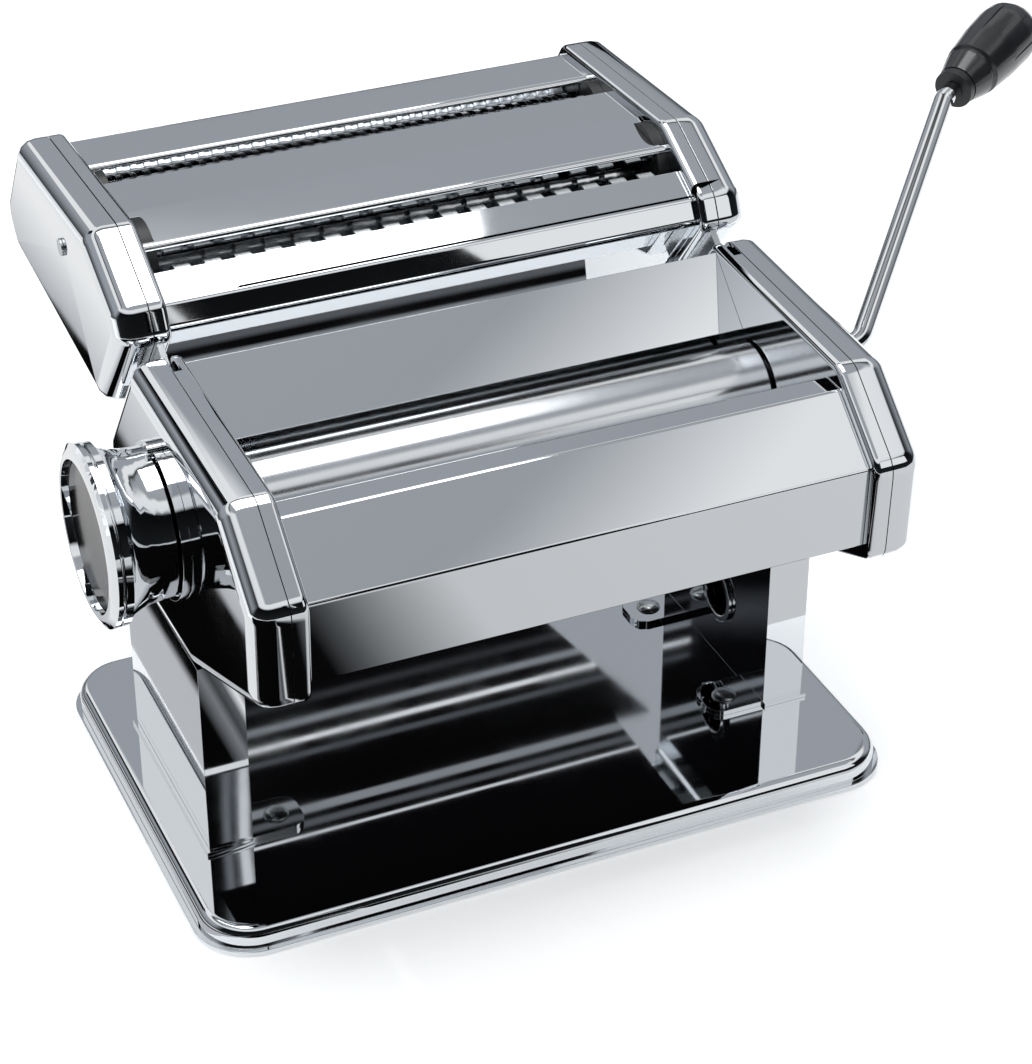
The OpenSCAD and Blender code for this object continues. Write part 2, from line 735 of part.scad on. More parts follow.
// The knob: a flared neck with a double-edged flange, hollow behind its end disc
module thickness_knob() color("silver")
    at_axis() at_front() mirror([1, 0, 0]) translate([cover_x + knob_0, 0, 0])
        difference() {
            rotate([0, 90, 0]) rotate_extrude() polygon([
                [0, 0], [neck_r - 0.7, 0], [neck_r - 0.3, 0.4], [neck_r - 0.3, 2.5], [neck_r, 5.5], [neck_r + 0.8, 9],
                [neck_r + 2, 11.5], [knob_r - 1, knob_l - 6], [knob_r - 0.2, knob_l - 5.4],
                [knob_r - 0.2, knob_l - 3.6], [knob_r - 0.8, knob_l - 3.3], [knob_r - 0.8, knob_l - 2.9],
                [knob_r, knob_l - 2.6], [knob_r, knob_l - 1.4], [knob_r - 2.6, knob_l], [knob_r - 4, knob_l],
                [knob_r - 4.4, knob_l - 3], [neck_r - 3.8, knob_l - 3], [neck_r - 4.2, knob_web], [0, knob_web]
            ]);
            translate([-eps, 0, 0]) rotate([0, 90, 0]) cylinder(h = knob_web + 2 * eps, r = shaft_r + 0.2, $fn = 6);
            index_slot();
        }

module knob_disc() color("black")
    at_axis() at_front() mirror([1, 0, 0]) rod_x(cover_x + knob_0 + knob_l - 3, 1, knob_r - 4.6);

spring_r = 5.2;
spring_l = hex_to - cover_x - knob_0 - knob_web;

module knob_spring() color("gainsboro")
    at_axis() at_front() mirror([1, 0, 0]) translate([cover_x + knob_0 + knob_web + 0.5, 0, 0])
        rotate([0, 90, 0]) linear_extrude(height = spring_l - 1, twist = -360 * 3, slices = 48, $fn = 6)
            translate([spring_r, 0]) circle(r = 0.5, $fn = 6);

// ---- Crank ----

module crank_plane() { at_axis() rotate([crank_tilt, 0, 0]) children(); }

// Points along the rod, with its bends as arcs
rod_path = bent([[cover_x + 4, 0], crank_bend, crank_top, crank_top + grip_start * grip_dir], bend_r, 6);

// A round rod swept along a flat path
module swept_rod(path, r, sides = 16) {
    n = len(path);
    inner = shifted(path, r, false);
    rings = [
        for (i = [0 : n - 1], k = [0 : sides - 1])
            let (a = 360 * k / sides, p = path[i] + cos(a) * (inner[i] - path[i]))
            [p[0], p[1], r * sin(a)]
    ];
    walls = [
        for (i = [0 : n - 2], k = [0 : sides - 1])
            let (next = (k + 1) % sides)
            [(i + 1) * sides + k, (i + 1) * sides + next, i * sides + next, i * sides + k]
    ];
    first_end = [for (k = [0 : sides - 1]) k];
    last_end = [for (k = [sides - 1 : -1 : 0]) (n - 1) * sides + k];
    polyhedron(rings, concat(walls, [first_end, last_end]));
}

socket_end = cover_x - 13.5;
grip_base = crank_top + grip_start * grip_dir;

// The rod, with a D-shaped end, a swaged stop shoulder and the pin that the grip turns on
module crank_rod() color("silver")
    crank_plane() {
        rotate([-crank_tilt, 0, 0]) d_shaft(socket_end, cover_x + 3 - socket_end, rod_r, socket_flat);
        rod_x(cover_x + 2, 3, rod_r + 1.5);
        swept_rod(rod_path, rod_r);
        translate([grip_base[0], grip_base[1], 0]) rotate([0, 0, grip_slope]) rotate([0, 90, 0])
            translate([0, 0, -2]) cylinder(h = grip_l - 4, r = grip_pin_r);
    }

module at_grip() {
    crank_plane() translate([grip_base[0], grip_base[1], 0]) rotate([0, 0, grip_slope]) rotate([0, 90, 0]) children();
}

collar_l = 3;

// The grip: a cone, a ring groove and an eight-sided fluted body with a domed end
module crank_grip() color("dimgray")
    at_grip() difference() {
        rotate_extrude() polygon([
            [grip_pin_r + turn_gap, collar_l + 0.3], [grip_r - 3.9, collar_l + 0.3], [grip_r - 1.9, 10.5],
            [grip_r - 2.4, 11.2], [grip_r - 2.4, 12.2], [grip_r - 1.4, 13], [grip_r - 0.3, 24], [grip_r, grip_l - 9],
            [grip_r - 0.6, grip_l - 4.5], [grip_r - 2.4, grip_l - 1.6], [grip_r - 5.4, grip_l - 0.2], [0, grip_l],
            [0, grip_l - 5.5], [grip_pin_r + turn_gap, grip_l - 5.5]
        ]);
        for (i = [0 : 7])
            rotate([0, 0, i * 45 + 22.5]) translate([grip_r - 0.5, -0.3, 14]) cube([2, 0.6, grip_l - 19]);
    }

module grip_collar() color("black")
    at_grip() difference() {
        translate([0, 0, 0.3]) cylinder(h = collar_l - 0.3, r = grip_r - 4.1);
        translate([0, 0, -eps]) cylinder(h = collar_l + 2 * eps, r = grip_pin_r + turn_gap);
    }

// ---- Cutter unit ----

// Post that the cutter's cover screws into, clear of the gears
post_left = cutter_knee + [21.5, -14.5];
post_right = cutter_back + [2.5, -18];
post_r = 3.4;
cutter_rods = [cutter_foot + [47, -22.5], cutter_back + [8.5, -28]];

module cutter_plate(post) {
    difference() {
        union() {
            side_plate(cutter_pts, cutter_radii);
            rod_x(web_x - 0.1, leg_x - web_x + 0.1, post_r, post);
        }
        for (p = [wide_a, wide_b, narrow_a, narrow_b]) rod_x(plate_x - eps, cover_t + 2 * eps, cutter_sleeve_r + air, p);
        for (p = cutter_rods) rod_x(plate_x - eps, cover_t + 2 * eps, screw_r, p);
        rod_x(leg_x - 6, 6 + eps, screw_r - 0.5, post);
        at_joint() tongue(joint_gap - eps, cover_t + 2 * eps, 0.05);
    }
}

// A slab of the tongue from n0 out of the head's joint face, n thick
module tongue(n0, n, gap = 0) {
    translate([tongue_x - gap, 4 - gap, n0]) cube([tongue_w + 2 * gap, rail_end - 4 + 2 * gap, n]);
}

module cutter_left_plate() color("silver") at_axis() mirror([1, 0, 0]) cutter_plate(post_left);
module cutter_right_plate() color("silver") at_axis() cutter_plate(post_right);

module cutter_cover(post) {
    difference() {
        end_cover(cutter_pts, cutter_radii);
        rod_x(leg_x - eps, cover_t + 2 * eps, screw_r - 0.5, post);
        children();
    }
}

module cutter_left_cover() color("silver") at_axis() mirror([1, 0, 0]) cutter_cover(post_left);

module cutter_right_cover() color("silver")
    at_axis() cutter_cover(post_right)
        for (p = [wide_a, narrow_a]) rod_x(leg_x - eps, cover_t + 2 * eps, cutter_sleeve_r + air, p);

// Where the plates end, in Y from the rear roller's axis
narrow_slot_rear = narrow_mid[0] + 5;
narrow_slot_front = narrow_mid[0] - 7.5;
middle_bend = wide_mid[0] + 7.5;
wide_slot_back = 18.3;                 // from the nose back to the slot's rear edge
comb_back = 11.8;                      // from the nose back to the comb's foot
wide_slot_rear = cutter_nose[0] + wide_slot_back;
comb_base = cutter_nose[0] + comb_back;
rear_lip = 8;

function top_at(y) = [y, height_at(cutter_in[1], cutter_in[0], y)];
function slope_at(y) = [y, height_at(cutter_in[2], cutter_in[1], y)];

module cutter_rear_panel() color("silver")
    at_axis() difference() {
        panel([
            cutter_in[5] + [-rear_lip, 0.5], cutter_in[5], cutter_in[6], cutter_in[0],
            top_at(narrow_slot_rear), top_at(narrow_slot_rear) + [0.4, -4]
        ]);
        cheek_room();
    }

module cutter_middle_plate() color("silver")
    at_axis() difference() {
        panel([
            top_at(narrow_slot_front), top_at(middle_bend),
            slope_at(wide_slot_rear) + [0, 1], slope_at(wide_slot_rear) + [0.6, -3]
        ]);
        cheek_room();
    }

module cutter_front_plate() color("silver")
    at_axis() difference() {
        panel([
            slope_at(comb_base), slope_at(cutter_in[2][0] + 0.4), cutter_in[3], cutter_in[4], cutter_in[4] + [7, 1]
        ], panel_t, 2.4);
        cheek_room();
    }

comb_t = 0.8;

// A row of tabs that stand out of a plate's edge over a slot, on a strip under the plate
module comb(pitch, tab, reach, edge, under) {
    n = floor((plate_x - cheek_t) / pitch - 0.5);
    root = edge + 0.1 * under;
    difference() {
        union() {
            along_x(-plate_x, body_w)
                polygon([edge, edge + under, edge + under + [0, -comb_t], edge + [0, -comb_t]]);
            for (i = [-n : n])
                along_x(i * pitch - tab / 2, tab)
                    polygon([edge, edge + [reach, 0], edge + [reach, -comb_t], root + [0, -comb_t], root]);
        }
        cheek_room();
    }
}

module wide_comb() color("gainsboro")
    at_axis() {
        edge = slope_at(comb_base) + panel_t * left_of(unit(cutter_in[2] - cutter_in[1]));
        comb(wide_pitch, 4.6, 3.8, edge, 5 * unit(cutter_in[2] - cutter_in[1]));
    }

module narrow_comb() color("gainsboro")
    at_axis() comb(narrow_pitch, 2.1, 2.6, top_at(narrow_slot_front) - [0, panel_t], [-6, 0.2]);

module cutter_rails() color("gainsboro")
    at_axis() both_ends() at_joint() {
        tongue(-tongue_in, tongue_in + joint_gap + cover_t + 0.3);
        translate([web_x, 4, joint_gap + cover_t + 0.2]) cube([tongue_x + tongue_w - web_x, rail_end - 4, 1.4]);
    }

module cutter_tie_rods() color("gainsboro")
    at_axis()
        for (p = cutter_rods)
            difference() {
                rod_x(-plate_x, body_w, rod_rod_r, p);
                both_ends() rod_x(plate_x - 6, 6 + eps, screw_r, p);
            }

module cutter_screws() color("gainsboro")
    at_axis() {
        both_ends() for (p = cutter_rods) translate([0, p[0], p[1]]) tie_screw(web_x);
        translate([0, post_right[0], post_right[1]]) cover_screw();
        mirror([1, 0, 0]) translate([0, post_left[0], post_left[1]]) cover_screw();
    }

module cover_screw() {
    rod_x(leg_x - 6, 6 + cover_t, screw_r - 0.5);
    rod_x(cover_x, 0.8, 2.4);
}

// Bearing blocks at both ends of each cutter pair, with a domed top; grow widens the shape all round
module cheek_shape(a, b, r, dome, dome_at, grow) {
    side = [0.9, 0];
    translate(dome_at) circle(r = dome + grow);
    for (p = [a, b]) translate(p) circle(r = r + grow);
    polygon([
        a - (r + grow) * side, a - [0, r + grow], b - [0, r + grow], b + (r + grow) * side,
        dome_at + (dome + grow) * side, dome_at - (dome + grow) * side
    ]);
}

wide_dome = wide_mid + [-1, 11];
narrow_dome = narrow_mid + [0, 7];

module cheek_profiles(grow = 0) {
    cheek_shape(wide_a, wide_b, cutter_journal_r + 2, dome_r, wide_dome, grow);
    cheek_shape(narrow_a, narrow_b, cutter_journal_r + 2, dome_r - 3.5, narrow_dome, grow);
}

module cheek_room() { both_ends() along_x(plate_x - cheek_t - 0.1, cheek_t + eps) cheek_profiles(0.1); }

module cutter_cheeks() color("black")
    at_axis() both_ends() difference() {
        along_x(plate_x - cheek_t, cheek_t) cheek_profiles();
        for (p = [wide_a, wide_b, narrow_a, narrow_b]) rod_x(plate_x - cheek_t - eps, cheek_t + 2 * eps, cutter_journal_r + turn_gap, p);
    }

// A ringed cutter roller: rings at a pitch, shifted by half a pitch on the mating roller
module cutter_roller(at, r, core_r, pitch, ring_w, shift) {
    n = floor((cutter_l / 2 - ring_w) / pitch - 0.5);
    translate([0, at[0], at[1]]) {
        rod_x(-cutter_l / 2, cutter_l, core_r);
        for (i = [-n : n]) rod_x((i + shift) * pitch - ring_w / 2, ring_w, r);
        rod_x(-web_x - 3, 2 * web_x + 6, cutter_journal_r);
    }
}

wide_core_r = wide_r - 2.2;
narrow_core_r = narrow_r - 1.4;
wide_ring_w = 3.8;
narrow_ring_w = 1.7;

// The driven roller of a pair, with its crank socket in the right cover
module driven_cutter(at, r, core_r, pitch, ring_w) {
    difference() {
        union() {
            cutter_roller(at, r, core_r, pitch, ring_w, 0);
            rod_x(web_x + 2, cover_x + 1.5 - web_x - 2, cutter_sleeve_r, at);
        }
        crank_socket(at);
    }
}

module idle_cutter(at, r, core_r, pitch, ring_w) {
    cutter_roller(at, r, core_r, pitch, ring_w, 0.5);
    rod_x(web_x + 2, cutter_gear_x + gear_w - web_x - 2, cutter_sleeve_r, at);
}

module wide_cutter_a() color("gainsboro") at_axis() driven_cutter(wide_a, wide_r, wide_core_r, wide_pitch, wide_ring_w);
module wide_cutter_b() color("gainsboro") at_axis() idle_cutter(wide_b, wide_r, wide_core_r, wide_pitch, wide_ring_w);
module narrow_cutter_a() color("gainsboro")
    at_axis() driven_cutter(narrow_a, narrow_r, narrow_core_r, narrow_pitch, narrow_ring_w);
module narrow_cutter_b() color("gainsboro")
    at_axis() idle_cutter(narrow_b, narrow_r, narrow_core_r, narrow_pitch, narrow_ring_w);

// Gear on a cutter roller; dist is the distance between the pair's axes
module cutter_gear(at, dist, phase) {
    gear(cutter_gear_x, gear_w, dist / 2 - 1.7, dist / 2 + 1.2, cutter_sleeve_r, 12, phase, at);
}

module wide_gear_a() color("lightsteelblue") at_axis() cutter_gear(wide_a, 2 * norm(wide_half), wide_tilt);
module wide_gear_b() color("lightsteelblue") at_axis() cutter_gear(wide_b, 2 * norm(wide_half), wide_tilt + 15);
module narrow_gear_a() color("lightsteelblue") at_axis() cutter_gear(narrow_a, 2 * norm(narrow_half), 0);
module narrow_gear_b() color("lightsteelblue") at_axis() cutter_gear(narrow_b, 2 * norm(narrow_half), 15);

// Upright combs under the cutter rollers, with tines in the grooves between their rings
module stripper(at, r, core_r, pitch, ring_w, shift) {
    n = floor((cutter_l / 2 - ring_w) / pitch - 0.5);
    tine = pitch - ring_w - 1.2;
    strip_h = 4;
    translate([0, at[0] - 0.5, at[1]]) {
        translate([-plate_x, 0, -r - strip_h - 0.5]) cube([body_w, 1, strip_h]);
        for (i = [-n : n - 1])
            translate([(i + 0.5 + shift) * pitch - tine / 2, 0, -r - 1]) cube([tine, 1, r - core_r + 0.6]);
    }
}

module cutter_strippers() color("gainsboro")
    at_axis() {
        stripper(wide_a, wide_r, wide_core_r, wide_pitch, wide_ring_w, 0);
        stripper(wide_b, wide_r, wide_core_r, wide_pitch, wide_ring_w, 0.5);
        stripper(narrow_a, narrow_r, narrow_core_r, narrow_pitch, narrow_ring_w, 0);
        stripper(narrow_b, narrow_r, narrow_core_r, narrow_pitch, narrow_ring_w, 0.5);
    }

base_plate();
base_feet();
left_leg();
right_leg();
clamp_ring();
foot_screws();
left_side_plate();
right_side_plate();
left_end_cover();
right_end_cover();
cover_screws();
front_panel();
guide_plate();
rear_panel();
front_scraper();
rear_scraper();
tie_rods();
tie_screws();
roller_bushes();
drive_bush();
selector_bush();
index_plate();
attachment_rails();
rear_roller();
rear_gear();
front_roller();
front_gear();
left_carrier();
right_carrier();
selector_shaft();
selector_nut();
thickness_knob();
knob_disc();
knob_spring();
crank_rod();
crank_grip();
grip_collar();
cutter_left_plate();
cutter_right_plate();
cutter_left_cover();
cutter_right_cover();
cutter_rear_panel();
cutter_middle_plate();
cutter_front_plate();
wide_comb();
narrow_comb();
cutter_rails();
cutter_tie_rods();
cutter_screws();
cutter_cheeks();
cutter_strippers();
wide_cutter_a();
wide_cutter_b();
narrow_cutter_a();
narrow_cutter_b();
wide_gear_a();
wide_gear_b();
narrow_gear_a();
narrow_gear_b();
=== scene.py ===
"""Looks of a hand-cranked pasta machine: polished sheet steel, ground rollers, a black grip and a pale studio."""

from __future__ import annotations

import json
import logging
import math
from dataclasses import dataclass
from enum import Enum
from typing import Callable, Iterable, Sequence

import bmesh
import bpy
from mathutils import Matrix, Vector

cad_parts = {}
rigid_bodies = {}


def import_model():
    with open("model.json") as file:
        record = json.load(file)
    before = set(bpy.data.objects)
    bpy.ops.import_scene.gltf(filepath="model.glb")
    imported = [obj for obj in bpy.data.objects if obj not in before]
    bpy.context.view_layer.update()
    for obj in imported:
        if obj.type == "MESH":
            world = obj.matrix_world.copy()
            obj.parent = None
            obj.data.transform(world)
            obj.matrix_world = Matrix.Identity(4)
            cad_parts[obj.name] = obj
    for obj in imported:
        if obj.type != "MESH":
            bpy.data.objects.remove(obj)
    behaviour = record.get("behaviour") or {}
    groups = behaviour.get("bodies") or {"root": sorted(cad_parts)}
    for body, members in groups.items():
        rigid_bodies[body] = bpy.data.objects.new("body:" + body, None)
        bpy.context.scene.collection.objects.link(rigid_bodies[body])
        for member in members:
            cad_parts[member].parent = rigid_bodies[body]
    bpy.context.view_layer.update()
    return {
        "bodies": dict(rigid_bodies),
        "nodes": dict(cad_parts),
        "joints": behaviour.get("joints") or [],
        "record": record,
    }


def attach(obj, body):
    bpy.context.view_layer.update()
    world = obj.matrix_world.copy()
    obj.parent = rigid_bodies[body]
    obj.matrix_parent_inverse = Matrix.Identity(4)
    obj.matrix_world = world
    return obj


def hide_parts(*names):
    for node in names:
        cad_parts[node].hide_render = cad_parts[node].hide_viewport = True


LOG = logging.getLogger("pasta_machine")
MM = 0.001

# A piece's mesh: doubles nearer than MERGE_MM become one, and faces within FLAT_DEG of each other one face
MERGE_MM = 0.002
FLAT_DEG = 0.4
# Edges from this angle up are sharp, and are rounded
SHARP_DEG = 32.0
ROD_SHARP_DEG = 40.0
ROUNDING_STEPS = 2
FLAT_FACE_WEIGHT = 60

# How deep the ripple of pressed sheet and the grain of ground metal go
RIPPLE_DEPTH_MM = 0.05
GRAIN_DEPTH_MM = 0.01
# The middle part of a noise, over which the roughness runs from its lowest to its highest
NOISE_SPAN = (0.3, 0.7)

FILM_MM = 36.0
WHITE = "FFFFFF"


# ---- Small tools ----


def linear(hex_colour: str) -> tuple[float, float, float, float]:
    """Turns an sRGB hex colour into the linear colour that a shader takes.

    Args:
        hex_colour: Six hex digits, such as "D8DADC".

    Returns:
        Red, green, blue and an alpha of 1.
    """
    parts = [int(hex_colour[i : i + 2], 16) / 255 for i in (0, 2, 4)]
    red, green, blue = (c / 12.92 if c <= 0.04045 else ((c + 0.055) / 1.055) ** 2.4 for c in parts)
    return red, green, blue, 1.0


def add_node(tree: bpy.types.NodeTree, kind: str, links: dict | None = None, **settings: object) -> bpy.types.Node:
    """Adds one node with its settings and its incoming links.

    Args:
        tree: The node tree that it goes into.
        kind: Blender's type name of the node.
        links: Input name or index to the output socket that feeds it.
        settings: Attributes of the node, or values of its inputs where it has no such attribute.

    Returns:
        The new node.
    """
    made = tree.nodes.new(kind)
    for name, value in settings.items():
        if hasattr(made, name):
            setattr(made, name, value)
        else:
            made.inputs[name.replace("_", " ")].default_value = value
    for socket, source in (links or {}).items():
        tree.links.new(source, made.inputs[socket])
    return made


def edited(mesh: bpy.types.Mesh, change: Callable[[bmesh.types.BMesh], None]) -> None:
    """Opens a mesh as a bmesh, changes it and writes it back.

    Args:
        mesh: The mesh to change.
        change: What is done to the bmesh.
    """
    work = bmesh.new()
    work.from_mesh(mesh)
    change(work)
    work.to_mesh(mesh)
    work.free()
    mesh.update()


class Edge(Enum):
    """How far the sharp edges of a piece are rounded, in millimetres."""

    NONE = 0.0
    CRISP = 0.12
    SHEET = 0.3
    SOFT = 0.6


# ---- Finishes ----


@dataclass(frozen=True)
class Finish:
    """A surface finish, from the colour, metal and roughness of the real material."""

    name: str
    colour: str
    metallic: float = 1.0
    roughness: float = 0.1
    smear: float = 0.03
    smear_mm: float = 30.0
    ripple: float = 0.0
    ripple_mm: float = 14.0
    grain: float = 0.0
    grain_mm: float = 0.4
    grain_axis: tuple[float, float, float] = (1.0, 1.0, 1.0)
    ior: float = 1.5
    coat: float = 0.0

    def material(self) -> bpy.types.Material:
        """Builds the material once, and gives the same one from then on.

        Returns:
            The material.
        """
        found = bpy.data.materials.get(self.name)
        if found:
            return found
        made = bpy.data.materials.new(self.name)
        made.use_nodes = True
        tree = made.node_tree
        shader = tree.nodes["Principled BSDF"]
        shader.inputs["Base Color"].default_value = linear(self.colour)
        shader.inputs["Metallic"].default_value = self.metallic
        shader.inputs["Coat Weight"].default_value = self.coat
        if not self.metallic:
            shader.inputs["IOR"].default_value = self.ior
        place = add_node(tree, "ShaderNodeTexCoord").outputs["Object"]
        self.roughen(tree, shader, place)
        self.emboss(tree, shader, place)
        return made

    def roughen(self, tree: bpy.types.NodeTree, shader: bpy.types.Node, place: bpy.types.NodeSocket) -> None:
        """Varies the roughness a little, as wiping and handling do.

        Args:
            tree: The material's nodes.
            shader: Its shader.
            place: Object coordinates, in metres.
        """
        cloud = add_node(
            tree, "ShaderNodeTexNoise", {"Vector": place}, Scale=1 / (self.smear_mm * MM), Detail=5.0, Roughness=0.6
        )
        level = add_node(
            tree,
            "ShaderNodeMapRange",
            {"Value": cloud.outputs["Fac"]},
            From_Min=NOISE_SPAN[0],
            From_Max=NOISE_SPAN[1],
            To_Min=max(self.roughness - self.smear, 0.0),
            To_Max=self.roughness + self.smear,
        )
        tree.links.new(level.outputs["Result"], shader.inputs["Roughness"])

    def emboss(self, tree: bpy.types.NodeTree, shader: bpy.types.Node, place: bpy.types.NodeSocket) -> None:
        """Adds the ripple of pressed sheet and the grain of ground metal.

        Args:
            tree: The material's nodes.
            shader: Its shader.
            place: Object coordinates, in metres.
        """
        normal = None
        for strength, size, axis, depth in (
            (self.ripple, self.ripple_mm, (1.0, 1.0, 1.0), RIPPLE_DEPTH_MM),
            (self.grain, self.grain_mm, self.grain_axis, GRAIN_DEPTH_MM),
        ):
            if not strength:
                continue
            stretch = add_node(tree, "ShaderNodeMapping", {"Vector": place}, Scale=axis)
            waves = add_node(
                tree, "ShaderNodeTexNoise", {"Vector": stretch.outputs["Vector"]}, Scale=1 / (size * MM), Detail=2.0
            )
            bump = add_node(
                tree,
                "ShaderNodeBump",
                {"Height": waves.outputs["Fac"], **({"Normal": normal} if normal else {})},
                Strength=strength,
                Distance=depth * MM,
            )
            normal = bump.outputs["Normal"]
        if normal:
            tree.links.new(normal, shader.inputs["Normal"])


# Stainless sheet, mirror polished: reflections stay sharp, with a slight waviness where the sheet is pressed
MIRROR_SHEET = Finish("mirror_polished_stainless", "DDE0E3", roughness=0.035, smear=0.02, ripple=0.25, ripple_mm=45.0)
# Chromium plate on a drawn rod
CHROME_ROD = Finish("chromium_plate", "E2E4E6", roughness=0.05, smear=0.02)
# Chromed roller, ground round: a little softer along its length, with fine rings round it
GROUND_ROLLER = Finish(
    "ground_chromed_roller", "D4D7DA", roughness=0.16, smear=0.03, grain=0.25, grain_mm=0.5, grain_axis=(3.0, 0.1, 0.1)
)
# Milled steel of gears and carriers: dull, with fine tool marks
MILLED_STEEL = Finish("milled_steel", "9DA1A5", roughness=0.34, smear=0.06, grain=0.4, grain_mm=0.6)
# Zinc-plated screws and stamped strips
PLATED_STEEL = Finish("zinc_plated_steel", "C3C7C9", roughness=0.24, smear=0.05)
# Glossy moulded ABS of the grip: near black, with a soft orange-peel skin
GLOSS_ABS = Finish(
    "moulded_black_abs",
    "1B1C1E",
    metallic=0.0,
    roughness=0.22,
    smear=0.05,
    ripple=0.2,
    ripple_mm=3.0,
    ior=1.53,
    coat=0.3,
)
# Matte moulded nylon of the bushes, the cutter cheeks and the grip's collar
BLACK_NYLON = Finish("moulded_black_nylon", "101112", metallic=0.0, roughness=0.42, smear=0.05, ior=1.53)
# Glossy black enamel on the knob's end disc
BLACK_ENAMEL = Finish("black_enamel", "0B0B0C", metallic=0.0, roughness=0.16, smear=0.04, ior=1.5)
# Moulded rubber feet
RUBBER = Finish("moulded_rubber", "1A1A1A", metallic=0.0, roughness=0.75, smear=0.05, ior=1.52)


# ---- Pieces ----


@dataclass
class Workshop:
    """Makes finished pieces from the frame's nodes and puts them on their bodies."""

    frame: dict

    def body_of(self, node: str) -> str:
        """Finds the body that a node belongs to.

        Args:
            node: The node's name.

        Returns:
            The body's name.
        """
        return next(body for body, nodes in self.frame["record"]["behaviour"]["bodies"].items() if node in nodes)

    def paint(self, nodes: Iterable[str], finish: Finish) -> None:
        """Gives nodes that stay as they are their finish.

        Args:
            nodes: Names of the nodes.
            finish: Their finish.
        """
        for node in nodes:
            mesh = self.frame["nodes"][node].data
            mesh.materials.clear()
            mesh.materials.append(finish.material())
            LOG.info("painted %s with %s", node, finish.name)

    def dress(self, node: str, finish: Finish, edge: Edge = Edge.SHEET, sharp: float = SHARP_DEG) -> None:
        """Stands a finished copy in for a node: its facets merged, its bends smooth and its edges rounded.

        Args:
            node: The node's name.
            finish: Its finish.
            edge: How its sharp edges are rounded.
            sharp: Angle in degrees from which an edge is sharp.
        """
        mesh = self.frame["nodes"][node].data.copy()

        def clean(work: bmesh.types.BMesh) -> None:
            """Merges the loose triangles into smooth sheets with sharp edges.

            Args:
                work: The bmesh.
            """
            bmesh.ops.remove_doubles(work, verts=work.verts, dist=MERGE_MM * MM)
            bmesh.ops.dissolve_limit(
                work, angle_limit=math.radians(FLAT_DEG), verts=work.verts, edges=work.edges, delimit={"NORMAL"}
            )
            for face in work.faces:
                face.smooth = True
            for line in work.edges:
                line.smooth = line.is_manifold and line.calc_face_angle(0.0) < math.radians(sharp)

        edited(mesh, clean)
        piece = self.put(f"{node}_finished", mesh, finish, self.body_of(node))
        if edge is not Edge.NONE:
            rounding = piece.modifiers.new("rounded_edges", "BEVEL")
            rounding.width = edge.value * MM
            rounding.segments = ROUNDING_STEPS
            rounding.limit_method = "ANGLE"
            rounding.angle_limit = math.radians(sharp)
            rounding.harden_normals = False
            rounding.use_clamp_overlap = True
        level = piece.modifiers.new("flat_faces", "WEIGHTED_NORMAL")
        level.keep_sharp = edge is Edge.NONE
        level.weight = FLAT_FACE_WEIGHT
        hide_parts(node)

    def put(self, name: str, mesh: bpy.types.Mesh, finish: Finish, body: str) -> bpy.types.Object:
        """Links a mesh to the scene as a piece on a body.

        Args:
            name: The piece's name.
            mesh: Its mesh, already in place.
            finish: Its finish.
            body: The body that it rides on.

        Returns:
            The new piece.
        """
        mesh.name = name
        mesh.materials.clear()
        mesh.materials.append(finish.material())
        piece = bpy.data.objects.new(name, mesh)
        bpy.context.scene.collection.objects.link(piece)
        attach(piece, body)
        LOG.info("made %s on %s", name, body)
        return piece


@dataclass
class BasePan:
    """The pressed base pan, its feet and the screws that hold the legs."""

    def build(self, shop: Workshop) -> None:
        """Dresses the pan, the feet and the screws.

        Args:
            shop: Where the pieces are made.
        """
        shop.dress("base_plate", MIRROR_SHEET, Edge.CRISP)
        shop.dress("base_feet", RUBBER, Edge.SOFT)
        shop.dress("foot_screws", PLATED_STEEL, Edge.CRISP)


@dataclass
class Legs:
    """The two channel legs, and the ring in the right one's clamp hole."""

    def build(self, shop: Workshop) -> None:
        """Dresses both legs and the clamp ring.

        Args:
            shop: Where the pieces are made.
        """
        for side in ("left", "right"):
            shop.dress(f"{side}_leg", MIRROR_SHEET, Edge.SHEET)
        shop.dress("clamp_ring", CHROME_ROD, Edge.SHEET)


@dataclass
class Head:
    """The roller head: end shells, panels, scrapers and the rods between the ends."""

    shells: tuple[str, ...] = ("left_side_plate", "right_side_plate", "left_end_cover", "right_end_cover")
    panels: tuple[str, ...] = ("front_panel", "guide_plate", "rear_panel")

    def build(self, shop: Workshop) -> None:
        """Dresses the head.

        Args:
            shop: Where the pieces are made.
        """
        for node in self.shells:
            shop.dress(node, MIRROR_SHEET, Edge.CRISP)
        for node in self.panels:
            shop.dress(node, MIRROR_SHEET, Edge.SHEET)
        shop.dress("tie_rods", CHROME_ROD, Edge.NONE)
        for node in ("front_scraper", "rear_scraper", "attachment_rails", "cover_screws", "tie_screws"):
            shop.dress(node, PLATED_STEEL, Edge.CRISP)
        for node in ("roller_bushes", "drive_bush", "selector_bush"):
            shop.dress(node, BLACK_NYLON, Edge.CRISP)


@dataclass
class RollingGear:
    """The two smooth rollers, their gears and the carriers."""

    def build(self, shop: Workshop) -> None:
        """Dresses the rollers, gears and carriers.

        Args:
            shop: Where the pieces are made.
        """
        for node in ("rear_roller", "front_roller"):
            shop.dress(node, GROUND_ROLLER, Edge.CRISP)
        for node in ("rear_gear", "front_gear", "left_carrier", "right_carrier"):
            shop.dress(node, MILLED_STEEL, Edge.CRISP)
        shop.dress("selector_shaft", CHROME_ROD, Edge.CRISP)


